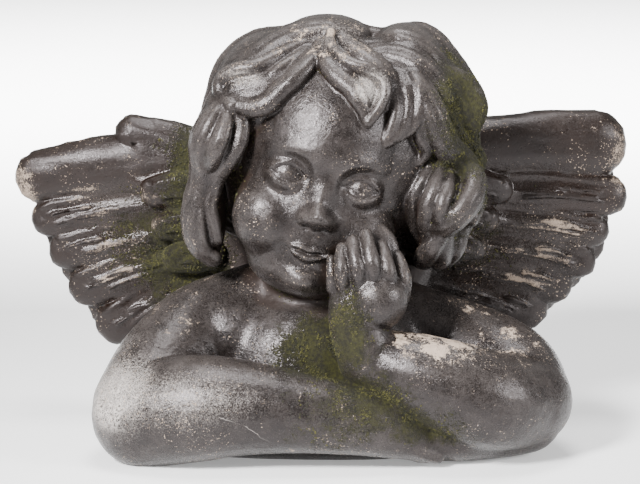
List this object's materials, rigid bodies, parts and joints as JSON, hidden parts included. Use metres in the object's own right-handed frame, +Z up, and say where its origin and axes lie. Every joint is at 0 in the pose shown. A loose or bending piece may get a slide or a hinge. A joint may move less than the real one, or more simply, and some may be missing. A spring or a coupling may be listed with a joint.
{
  "type": "garden cherub statue",
  "caption": "Cast stone garden ornament: a winged child leaning on folded forearms, cheek resting on a hand, with a flat underside.",
  "frame": {"origin": "on the flat underside, below the middle of the shoulders", "axes": "+Z up; -Y is the way the figure faces; +X runs from the tip of its right wing to the tip of its left wing"},
  "size_m": [0.6359, 0.3068, 0.4304],
  "materials": {
    "dark_cast_stone": "dark grey-brown patinated cast stone with a soft sheen, pale lime bloom and moss in the hollows"
  },
  "bodies": {
    "root": {"cherub": "dark_cast_stone"}
  },
  "joints": []
}
